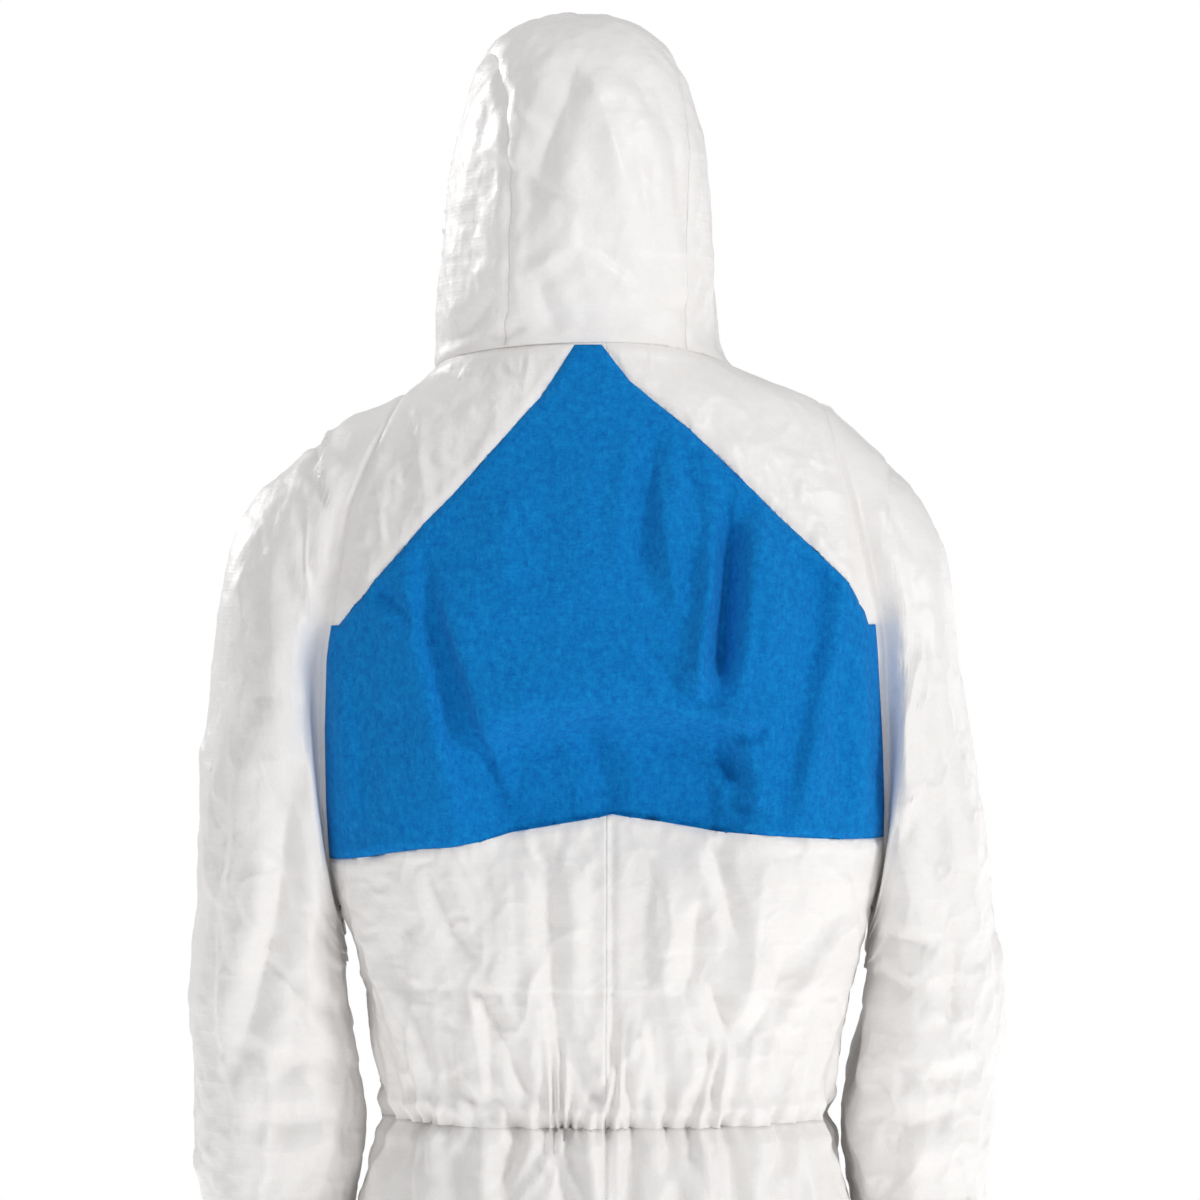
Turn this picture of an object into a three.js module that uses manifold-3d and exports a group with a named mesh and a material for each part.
// Hooded protective coverall, as a wearer fills it, built from its separate panels.
//
// Frame: millimetres, +Z up, the front of the suit faces -Y and the wearer's left is +X.
// The origin is the middle of the neck at the height of the back neck point, which is where
// the wearer's shoulders carry the suit. Heights in this file are above the ground that the
// wearer stands on; the whole group is lowered by NECK_Z at the end.
//
// The suit is one skin, FABRIC thick, cut along its seams. The skin is the union of a torso,
// two sleeves and two legs, less the same shapes taken in by FABRIC, and the hood is a skin of its own.
// Soft panels are plain here; each keeps a seam gap of GAP to its neighbours.
import * as THREE from 'three';
import { mergeVertices } from 'three/addons/utils/BufferGeometryUtils.js';
import Module from 'manifold-3d';

const wasm = await Module();
wasm.setup();

// ---- driving dimensions ----
const FABRIC = 2.0;          // skin thickness that stands for the laminate
const GAP = 0.6;             // seam gap between panels
const NECK_Z = 1607;         // back neck point above the ground
const WAIST_Z = 1089;        // waist elastic
const HEM_Z = 60;            // ankle hems
const HIP_CUT_Z = 795;       // where the torso's panels end and the legs begin
const LEG_TOP_Z = 787;
const GROIN_SLOPE = 0.72;    // rise of the leg's front edge that leaves room for a stride
const SEAM_BACK_Y = 80, SEAM_SLOPE = 0.155;  // neck seam plane: z falls towards the chin
const ZIP_TOP_Z = 1574, ZIP_BOTTOM_Z = 842;
const ZIP_TOP_Y = -118, ZIP_LEAN = 10 / 725; // the front edge is one straight line
const HOOD_TURN = THREE.MathUtils.degToRad(12), HOOD_SHIFT = 20;
const FACE = { z: 1684, halfW: 66, halfH: 101 };
const CENTRE_PANEL = 61;     // half width of the hood's middle panel
const CUFF = { top: 902, bottom: 842 };
const SIDES = { torso: 28, sleeve: 16, leg: 16, hood: 24 };  // facets round each shape

const frontY = (z) => ZIP_TOP_Y - (ZIP_TOP_Z + 1 - z) * ZIP_LEAN;

// ---- helpers ----
const solidFrom = (geometry) => {
  const g = geometry.index ? geometry.toNonIndexed() : geometry.clone();
  for (const n of ['normal', 'uv', 'color']) if (g.getAttribute(n)) g.deleteAttribute(n);
  const m = mergeVertices(g, 1e-3);
  let tri = new Uint32Array(m.index.array);
  const make = () => new wasm.Manifold(new wasm.Mesh({ numProp: 3, vertProperties: new Float32Array(m.attributes.position.array), triVerts: tri }));
  let s = make();
  if (s.volume() < 0) {
    for (let i = 0; i < tri.length; i += 3) [tri[i + 1], tri[i + 2]] = [tri[i + 2], tri[i + 1]];
    s = make();
  }
  return s;
};
const geometryFrom = (solid, warp) => {
  const m = solid.getMesh(), n = m.numProp;
  const v = new Float32Array(m.numVert * 3);
  for (let i = 0; i < m.numVert; i++) {
    const p = new THREE.Vector3(m.vertProperties[i * n], m.vertProperties[i * n + 1], m.vertProperties[i * n + 2]);
    if (warp) warp(p);
    v.set([p.x, p.y, p.z], i * 3);
  }
  const g = new THREE.BufferGeometry().setAttribute('position', new THREE.BufferAttribute(v, 3)).setIndex(new THREE.BufferAttribute(new Uint32Array(m.triVerts), 1));
  g.computeVertexNormals();
  return g;
};
// A closed loft through rings of equal length, with flat fans at both ends.
const loft = (rings) => {
  const n = rings[0].length, pos = [], idx = [];
  for (const r of rings) for (const p of r) pos.push(p.x, p.y, p.z);
  for (let k = 0; k + 1 < rings.length; k++) for (let i = 0; i < n; i++) {
    const a = k * n + i, b = k * n + (i + 1) % n, c = a + n, d = b + n;
    idx.push(a, b, d, a, d, c);
  }
  for (const [k, flip] of [[0, true], [rings.length - 1, false]]) {
    const c = new THREE.Vector3();
    rings[k].forEach((p) => c.add(p)); c.divideScalar(n);
    const ci = pos.length / 3; pos.push(c.x, c.y, c.z);
    for (let i = 0; i < n; i++) { const a = k * n + i, b = k * n + (i + 1) % n; flip ? idx.push(ci, b, a) : idx.push(ci, a, b); }
  }
  return solidFrom(new THREE.BufferGeometry().setAttribute('position', new THREE.Float32BufferAttribute(pos, 3)).setIndex(idx));
};
// A ring in a level plane: half width a, back reach b, front reach f, squareness e.
const ring = (n, z, cx, cy, a, b, f, e = 2, dz = null) => Array.from({ length: n }, (_, i) => {
  const t = (i / n) * Math.PI * 2, c = Math.cos(t), s = Math.sin(t), k = 2 / e;
  const x = cx + a * Math.sign(c) * Math.abs(c) ** k, y = cy + (s > 0 ? b : f) * Math.sign(s) * Math.abs(s) ** k;
  return new THREE.Vector3(x, y, z + (dz ? dz(x, y) : 0));
});
const table = (rows) => (z) => {   // smooth lookup in rows sorted by their first number
  let i = 0; while (i < rows.length - 2 && z > rows[i + 1][0]) i++;
  const t = THREE.MathUtils.clamp((z - rows[i][0]) / (rows[i + 1][0] - rows[i][0]), 0, 1);
  return rows[i].slice(1).map((v, k) => v + (rows[i + 1][k + 1] - v) * t);
};
const NONE = new THREE.Matrix4();
const box = (x0, x1, y0, y1, z0, z1, turn = NONE) => solidFrom(new THREE.BoxGeometry(x1 - x0, y1 - y0, z1 - z0).translate((x0 + x1) / 2, (y0 + y1) / 2, (z0 + z1) / 2).applyMatrix4(turn));
// A prism along Y over an outline in X and Z.
const prismY = (outline, y0, y1, turn = NONE) => {
  const s = new THREE.Shape(outline.map(([x, z]) => new THREE.Vector2(x, z)));
  const g = new THREE.ExtrudeGeometry(s, { depth: y1 - y0, bevelEnabled: false });
  g.applyMatrix4(new THREE.Matrix4().set(1, 0, 0, 0, 0, 0, -1, y1, 0, 1, 0, 0, 0, 0, 0, 1)).applyMatrix4(turn);
  return solidFrom(g);
};
// A prism along X over an outline in Y and Z.
const prismX = (outline, x0, x1) => {
  const s = new THREE.Shape(outline.map(([y, z]) => new THREE.Vector2(y, z)));
  const g = new THREE.ExtrudeGeometry(s, { depth: x1 - x0, bevelEnabled: false });
  g.applyMatrix4(new THREE.Matrix4().set(0, 0, 1, x0, 1, 0, 0, 0, 0, 1, 0, 0, 0, 0, 0, 1));
  return solidFrom(g);
};
const biggest = (solid, test = () => true) => solid.decompose().filter((s) => test(s)).sort((a, b) => b.volume() - a.volume())[0];
const mid = (s) => { const b = s.boundingBox(); return b.min.map((v, i) => (v + b.max[i]) / 2); };

// ---- torso, waist and hips ----
// height, half width, back reach
const TORSO = [
  [803, 150, 92], [818, 170, 114], [850, 177, 128], [950, 175, 132], [1040, 163, 110], [1089, 152, 96], [1150, 159, 106], [1200, 163, 112], [1230, 170, 114], [1262, 188, 117],
  [1422, 198, 120], [1480, 193, 112], [1515, 184, 105], [1540, 171, 98], [1560, 151, 92], [1576, 128, 86], [1590, 104, 82], [1604, 93, 80], [1640, 92, 80],
];
const squareness = table([[800, 2.4], [1000, 2.5], [1089, 2.3], [1200, 2.7], [1300, 3.0], [1430, 2.9], [1510, 2.3], [1560, 2.05], [1640, 2.0]]);
const torso = (t) => loft(TORSO.map(([z, a, b], i) => ring(SIDES.torso, i ? z : z + t, 0, 0, a - t, b - t, -frontY(Math.min(z, ZIP_TOP_Z)) - t, squareness(z)[0])));

// ---- sleeves ----
// height, distance out from the middle, forward place, half width, half depth; the first rows lie inside the torso
const ARM = {
  1: [[1515, 112, 4, 60, 74], [1493, 146, 5, 64, 78], [1462, 184, 6, 64, 78], [1400, 207, 7, 58, 74],
    [1262, 223, 7, 54, 67], [1200, 226, 4, 55, 64], [1150, 228, -2, 57, 62], [1090, 225, -12, 57, 61], [1030, 225, -26, 53, 57],
    [970, 225, -42, 46, 50], [906, 222, -58, 37, 39]],
  '-1': [[1510, 104, 4, 60, 74], [1487, 138, 5, 60, 78], [1462, 172, 6, 60, 78], [1400, 188, 7, 52, 74],
    [1262, 211, 7, 46, 67], [1200, 217, 4, 48, 64], [1150, 217, -2, 47, 62], [1090, 214, -12, 48, 60], [1030, 215, -26, 45, 56],
    [970, 221, -42, 42, 50], [906, 222, -58, 37, 39]],
};
const ARM_TILT = [0.95, 0.72, 0.42, 0.2, 0.04, 0, 0, 0, 0, 0, 0];  // how far each ring leans over the shoulder
const sleeve = (side, t) => loft(ARM[side].map(([z, x, y, rx, ry], i) => {
  const lean = ARM_TILT[i], last = i === ARM[side].length - 1;
  return Array.from({ length: SIDES.sleeve }, (_, k) => {
    const q = (k / SIDES.sleeve) * Math.PI * 2, u = (rx - t) * Math.cos(q), v = (ry - t) * Math.sin(q);
    const c = Math.cos(lean), s = Math.sin(lean);
    return new THREE.Vector3(side * (x + u * c), y + v, z + u * s - (last && t ? 8 : 0) - (i === 0 && t ? t : 0));
  });
}));

// ---- legs ----
// height, distance out, forward place, half width, half depth
const LEG = [
  [HEM_Z, 124, 0, 47, 51], [74, 124, 0, 52, 57], [95, 124, 0, 63, 69], [135, 123, 0, 71, 78], [320, 120, -1, 80, 89],
  [540, 112, -2, 86, 96], [680, 105, -1, 90, 104], [800, 97, 1, 84, 112], [870, 88, 2, 70, 100],
];
const leg = (side, t) => loft(LEG.map(([z, x, y, rx, ry], i) => ring(SIDES.leg, i === 0 && t ? z - 8 : i === LEG.length - 1 && t ? z - t : z, side * x, y, rx - t, ry - t, ry - t, 2.1)));

// ---- the body's skin ----
const outer = [torso(0), sleeve(1, 0), sleeve(-1, 0), leg(1, 0), leg(-1, 0)].reduce((a, b) => a.add(b));
const inner = [torso(FABRIC), sleeve(1, FABRIC), sleeve(-1, FABRIC), leg(1, FABRIC), leg(-1, FABRIC)].reduce((a, b) => a.add(b));
const seamPlane = (y) => NECK_Z + (y - SEAM_BACK_Y) * SEAM_SLOPE;
const aboveSeam = (lift) => prismX([[-300, seamPlane(-300) + lift], [300, seamPlane(300) + lift], [300, 2100], [-300, 2100]], -300, 300);
const skin = outer.subtract(inner).subtract(aboveSeam(0));

// Armhole seams, as outlines in X and Z. The left and the right seam mirror each other.
const armSide = (side, grow) => [[134, 1660], [134, 1585], [171, 1495], [184, 1422], [187, 1300], [185.5, 1262], [169.4, 1228], [166.8, 1206], [165.6, 1150],
  [161, 1108], [160, 1070], [168.3, 1022], [175.5, 970], [178.6, 930], [181, 880]]
  .map(([x, z]) => [side * (x - grow), z]).concat([[side * 420, 880], [side * 420, 1660]]);
const ordered = (side, pts) => (side > 0 ? pts : pts.slice().reverse());
const inArm = (side, grow) => prismY(ordered(side, armSide(side, grow)), -250, 250);
// The hinge line of each sleeve: the cap inside it stays with the torso.
const capOutline = (side, grow) => [[100, 1670], [100, 1450], [184, 1423], [203 + grow, 1529], [203 + grow, 1670]].map(([x, z]) => [side * x, z]);
const parts = {};
for (const side of [1, -1]) {
  const S = side > 0 ? 'left' : 'right';
  const whole = biggest(skin.intersect(inArm(side, 0)));
  const cap = biggest(whole.intersect(prismY(ordered(side, capOutline(side, 0)), -250, 250)));
  const arm = biggest(whole.subtract(prismY(ordered(side, capOutline(side, GAP)), -250, 250)));
  parts[S + '_sleeve_cap'] = cap;
  parts[S + '_sleeve'] = arm;
}
let core = skin;
for (const side of [1, -1]) core = core.subtract(inArm(side, GAP));
core = biggest(core, (s) => Math.abs(mid(s)[0]) < 60);

// Back panels. The outline of the vented panel, in X and Z.
const VENT = [[20, 1606], [5, 1607], [-16, 1587], [-65, 1546], [-120, 1492], [-177, 1433], [-215, 1433], [-215, 1272], [-188, 1273], [-124, 1275],
  [-97, 1277], [-57, 1284], [-3, 1290], [25, 1286], [65, 1280], [107, 1271], [147, 1265], [189, 1258], [215, 1258], [215, 1422], [182, 1422], [147, 1464], [97, 1519], [48, 1573]];
const vent = (grow) => { // the outline moved outwards by grow
  const n = VENT.length, out = [];
  for (let i = 0; i < n; i++) {
    const a = VENT[(i + n - 1) % n], b = VENT[i], c = VENT[(i + 1) % n];
    const d1 = new THREE.Vector2(b[0] - a[0], b[1] - a[1]).normalize(), d2 = new THREE.Vector2(c[0] - b[0], c[1] - b[1]).normalize();
    const m = new THREE.Vector2(d1.x + d2.x, d1.y + d2.y).normalize();
    const k = grow / Math.max(0.4, m.dot(d1));
    out.push([b[0] + m.y * k, b[1] - m.x * k]);
  }
  return out;
};
const SIDE_Y = 0;  // the side and shoulder seams lie in this plane
const back = core.intersect(box(-260, 260, SIDE_Y + GAP / 2, 260, 700, 1700));
const front = core.intersect(box(-260, 260, -260, SIDE_Y - GAP / 2, 700, 1700));
parts.back_vent_panel = biggest(back.intersect(prismY(vent(0), 1, 250)));
const rest = back.subtract(prismY(vent(GAP), -1, 250));
const above = rest.intersect(prismY([[-260, 1350], [260, 1350], [260, 1700], [-260, 1700]], -10, 250));
const below = rest.intersect(prismY([[-260, HIP_CUT_Z], [260, HIP_CUT_Z], [260, 1350], [-260, 1350]], -10, 250));
parts.left_back_yoke = biggest(above.intersect(box(12 + GAP / 2, 260, -10, 250, 1300, 1700)));
parts.right_back_yoke = biggest(above.intersect(box(-260, 12 - GAP / 2, -10, 250, 1300, 1700)));
// Crotch gusset: the strip between the legs.
const gusset = (g) => box(-34 - g, 34 + g, -58 - g, 58 + g, 780, 822 + g);
parts.left_lower_back = biggest(below.intersect(box(-3 + GAP / 2, 260, -10, 250, 700, 1400)).subtract(gusset(GAP)));
parts.right_lower_back = biggest(below.intersect(box(-260, -3 - GAP / 2, -10, 250, 700, 1400)).subtract(gusset(GAP)));
parts.crotch_gusset = biggest(core.intersect(gusset(0)).subtract(box(-260, 260, -260, 260, 700, HIP_CUT_Z)));
const ZIP_HALF = 6.5;
const frontUpper = front.intersect(box(-260, 260, -260, 260, HIP_CUT_Z, 1700));
parts.left_front_panel = biggest(frontUpper.intersect(box(ZIP_HALF, 260, -260, 250, 700, 1700)).subtract(gusset(GAP)));
parts.right_front_panel = biggest(frontUpper.intersect(box(-260, -ZIP_HALF, -260, 250, 700, 1700)).subtract(gusset(GAP)));

// Legs: front, back, and the fold at the groin that crumples as the leg comes forward.
for (const side of [1, -1]) {
  const S = side > 0 ? 'left' : 'right';
  const tube = biggest(skin.intersect(box(side > 0 ? 0.5 : -300, side > 0 ? 300 : -0.5, -300, 300, HEM_Z - 5, LEG_TOP_Z)), (s) => Math.abs(mid(s)[0]) < 180);
  const hem = box(-300, 300, -300, 300, HEM_Z - 20, HEM_Z + 22);
  const wedge = (g) => prismX([[-3 + g, LEG_TOP_Z + 10], [-3 + g, LEG_TOP_Z - 4.3 - g], [-220, LEG_TOP_Z - 4.3 - 1.3 * g - 217 * GROIN_SLOPE], [-220, LEG_TOP_Z + 10]], -300, 300);
  const body = tube.subtract(box(-300, 300, -300, 300, 0, HEM_Z + 22 + GAP));
  parts[S + '_leg_back'] = biggest(body.intersect(box(-300, 300, GAP / 2, 300, 0, 900)));
  parts[S + '_leg_front'] = biggest(body.intersect(box(-300, 300, -300, -GAP / 2, 0, 900)).subtract(wedge(GAP)));
  parts[S + '_groin_fold'] = biggest(body.intersect(box(-300, 300, -300, -GAP / 2, 0, 900)).intersect(wedge(0)));
  parts[S + '_ankle_hem'] = biggest(tube.intersect(hem));
  // elastic inside the hem
  const el = (t, z0, z1) => loft([[z0, 46.3], [z1, 48.4]].map(([z, r]) => ring(SIDES.leg, z, side * 124, 0, r - t, r + 4 - t, r + 4 - t, 2.1)));
  parts[S + '_ankle_elastic'] = el(FABRIC + 1.0, HEM_Z + 4, HEM_Z + 12).subtract(el(FABRIC + 2.4, HEM_Z - 4, HEM_Z + 20));
}

// Waist elastic, sewn inside the skin and open at the zip.
{
  const band = (t, z0, z1) => loft([z0, (z0 + z1) / 2, z1].map((z) => { const [a, b] = table(TORSO)(z); return ring(SIDES.torso, z, 0, 0, a - t, b - t, -frontY(z) - t, squareness(z)[0]); }));
  parts.waist_elastic = biggest(band(FABRIC + 0.8, WAIST_Z - 8, WAIST_Z + 8).subtract(band(FABRIC + 2.2, WAIST_Z - 12, WAIST_Z + 12)).subtract(box(-30, 30, -260, -20, 1000, 1200)));
}

// ---- zip: two tapes, two coil sides, stops, two sliders with pullers ----
// Everything here is drawn upright on the plane y = 0 and leaned onto the front edge.
const leanOn = (p) => { p.y += frontY(p.z); };
const strip = (x0, x1, y0, y1, z0, z1) => box(x0, x1, y0, y1, z0, z1);
const leaned = [];
const zipPiece = (name, solid) => { parts[name] = solid; leaned.push(name); };
const TAPE_Y = [FABRIC + 0.4, FABRIC + 1.4];
const tapeSheet = torso(TAPE_Y[0]).subtract(torso(TAPE_Y[1]));  // the tapes follow the inside of the skin
for (const side of [1, -1]) {
  const S = side > 0 ? 'left' : 'right';
  parts[S + '_zip_tape'] = biggest(tapeSheet.intersect(strip(Math.min(side * 0.3, side * 17), Math.max(side * 0.3, side * 17), -260, -60, ZIP_BOTTOM_Z - 12, ZIP_TOP_Z - 2)));
  // one side of the coil
  zipPiece(S + '_zip_coil', strip(side > 0 ? 0.4 : -3.1, side > 0 ? 3.1 : -0.4, 0.2, TAPE_Y[0] - 0.35, ZIP_BOTTOM_Z, ZIP_TOP_Z - 12));
  zipPiece(S + '_zip_top_stop', strip(side > 0 ? 0.6 : -3.4, side > 0 ? 3.4 : -0.6, -0.4, TAPE_Y[0] - 0.35, ZIP_TOP_Z - 11, ZIP_TOP_Z - 7));
}
zipPiece('zip_bottom_stop', strip(-4, 4, -0.4, TAPE_Y[0] - 0.35, ZIP_BOTTOM_Z - 7, ZIP_BOTTOM_Z - 1));
const SLIDER = { half: 5.2, h: 13, y0: -3.4, y1: TAPE_Y[0] - 0.3 };
const slider = (z, up) => {
  let s = strip(-SLIDER.half, SLIDER.half, SLIDER.y0, SLIDER.y1, z - SLIDER.h, z).subtract(strip(-3.6, 3.6, -0.9, 9, z - SLIDER.h - 1, z + 1));
  // the bridge that the puller hangs from
  const c = z - SLIDER.h / 2;
  s = s.add(strip(-1.6, 1.6, SLIDER.y0 - 3.2, SLIDER.y0 + 0.5, c - 4, c + 4).subtract(strip(-3, 3, SLIDER.y0 - 2.3, SLIDER.y0 - 0.3, c - 1.3, c + 1.3)));
  return s;
};
// A flat tab that hangs from the bridge by an eye; its bar turns inside the bridge.
const puller = (z) => {
  const c = z - SLIDER.h / 2, y = SLIDER.y0 - 1.3;
  return strip(-4, 4, y - 0.6, y + 0.6, c - 26, c + 0.7)
    .subtract(strip(-2.3, 2.3, y - 3, y + 3, c - 5.6, c - 0.7))
    .subtract(strip(-1.8, 1.8, y - 3, y + 3, c - 22, c - 15));
};
const TOP_SLIDER_Z = ZIP_TOP_Z - 13, LOW_SLIDER_Z = ZIP_BOTTOM_Z + 15;
zipPiece('upper_slider', slider(TOP_SLIDER_Z));
zipPiece('upper_puller', puller(TOP_SLIDER_Z));
zipPiece('lower_slider', slider(LOW_SLIDER_Z));
zipPiece('lower_puller', puller(LOW_SLIDER_Z));

// Storm flap: a bowed strip over the zip, sewn along its left edge.
{
  const z0 = ZIP_BOTTOM_Z + 26, z1 = ZIP_TOP_Z - 50, n = 10, X0 = -30, X1 = 27;
  const arc = (t) => { const x = X0 + (X1 - X0) * t, q = Math.sin(Math.PI * t); return [x, -2.2 - 8.6 * q ** 0.62]; };
  const pts = [];
  for (let i = 0; i <= n; i++) pts.push(arc(i / n));
  const outline = pts.map(([x, y]) => [x, y - 0.6]).concat(pts.slice().reverse().map(([x, y]) => [x, y + 0.6]));
  const shape = new THREE.Shape(outline.map(([x, y]) => new THREE.Vector2(x, y)));
  const g = new THREE.ExtrudeGeometry(shape, { depth: z1 - z0, bevelEnabled: false });
  g.translate(0, 0, z0);
  zipPiece('storm_flap', solidFrom(g));
}

// ---- hood ----
// height, half width, back reach, front reach
const HOOD = [[1560, 92, 80, 118], [1590, 93, 81, 118], [1628, 92, 89, 120], [1672, 91, 99, 122], [1740, 86, 104, 122],
  [1770, 80, 99, 116], [1795, 70, 86, 104], [1812, 58, 69, 88], [1826, 38, 41, 60], [1835, 8, 6, 26]];
// Above the neck seam the hood is turned and shifted a little to the wearer's left.
const turnAt = (z) => {
  const a = HOOD_TURN * THREE.MathUtils.smoothstep(z, 1580, 1690);
  return new THREE.Matrix4().makeRotationZ(a).setPosition(HOOD_SHIFT * THREE.MathUtils.smoothstep(z, 1575, 1660), 0, 0);
};
const TURNED = turnAt(1800);
const hoodShape = (t) => loft(HOOD.map(([z, a, b, f], i) => ring(SIDES.hood, i === 0 ? z - (t ? 6 : 0) : z - t * (i / (HOOD.length - 1)), 0, 0, a - t, b - t, f - t, 2.15)
  .map((p) => p.applyMatrix4(turnAt(z)))));
const oval = (grow, e = 2.5) => Array.from({ length: 20 }, (_, i) => { const t = (i / 20) * Math.PI * 2, c = Math.cos(t), s = Math.sin(t);
  return [(FACE.halfW + grow) * Math.sign(c) * Math.abs(c) ** (2 / e), FACE.z + (FACE.halfH + grow) * Math.sign(s) * Math.abs(s) ** (2 / e)]; });
const faceCut = (grow) => prismY(oval(grow), -210, -40, TURNED);
const hoodSkin = hoodShape(0).subtract(hoodShape(FABRIC)).intersect(aboveSeam(GAP));
const HEM_W = 13;
const hoodBody = hoodSkin.subtract(faceCut(HEM_W + GAP));
parts.hood_face_hem = biggest(hoodSkin.intersect(faceCut(HEM_W)).subtract(faceCut(0)));
const middle = (grow) => box(-CENTRE_PANEL - grow, CENTRE_PANEL + grow, -300, 300, 1500, 1900, TURNED).subtract(box(-140, 140, -300, -40, 1500, 1700, TURNED));
parts.hood_centre_panel = biggest(hoodBody.intersect(middle(0)));
parts.hood_left_panel = biggest(hoodBody.subtract(middle(GAP)).intersect(box(0, 300, -300, 300, 1500, 1900, TURNED)));
parts.hood_right_panel = biggest(hoodBody.subtract(middle(GAP)).intersect(box(-300, 0, -300, 300, 1500, 1900, TURNED)));
// elastic behind the hem
parts.hood_face_elastic = biggest(hoodShape(FABRIC + 0.8).subtract(hoodShape(FABRIC + 2.2)).intersect(aboveSeam(GAP + 2)).intersect(faceCut(10)).subtract(faceCut(3)));

// ---- knitted cuffs ----
for (const side of [1, -1]) {
  const S = side > 0 ? 'left' : 'right', x = side * ARM[side][10][1];
  const rows = [[CUFF.top, 35, -58.5], [CUFF.bottom + 22, 33, -63], [CUFF.bottom, 34, -66]];
  const tube = (t) => loft(rows.map(([z, r, y], i) => ring(SIDES.sleeve, t && i === 0 ? z + 5 : t && i === 2 ? z - 5 : z, x, y, r - t, r + 2 - t, r + 2 - t, 2)));
  parts[S + '_knitted_cuff'] = tube(0).subtract(tube(FABRIC));
}

// ---- colours and nodes ----
const WHITE = { color: 0xe9e8e4, roughness: 0.62, metalness: 0 }, BLUE = { color: 0x1463b4, roughness: 0.7, metalness: 0 };
const KNIT = { color: 0xe4e2dc, roughness: 0.85, metalness: 0 }, ELASTIC = { color: 0xdedcd4, roughness: 0.8, metalness: 0 };
const TAPE = { color: 0xe6e5e0, roughness: 0.75, metalness: 0 }, NYLON = { color: 0xdad9d4, roughness: 0.4, metalness: 0 }, METAL = { color: 0xd8d8d6, roughness: 0.35, metalness: 0.4 };
const look = (name) => name === 'back_vent_panel' ? BLUE : /knitted/.test(name) ? KNIT : /elastic/.test(name) ? ELASTIC : /tape/.test(name) ? TAPE
  : /coil|stop/.test(name) ? NYLON : /slider|puller/.test(name) ? METAL : WHITE;
const suit = new THREE.Group();
suit.position.z = -NECK_Z;
for (const [name, solid] of Object.entries(parts)) {
  const warp = leaned.includes(name) ? leanOn : null;
  const mesh = new THREE.Mesh(geometryFrom(solid, warp), new THREE.MeshStandardMaterial(look(name)));
  mesh.name = name;
  suit.add(mesh);
}
export default suit;
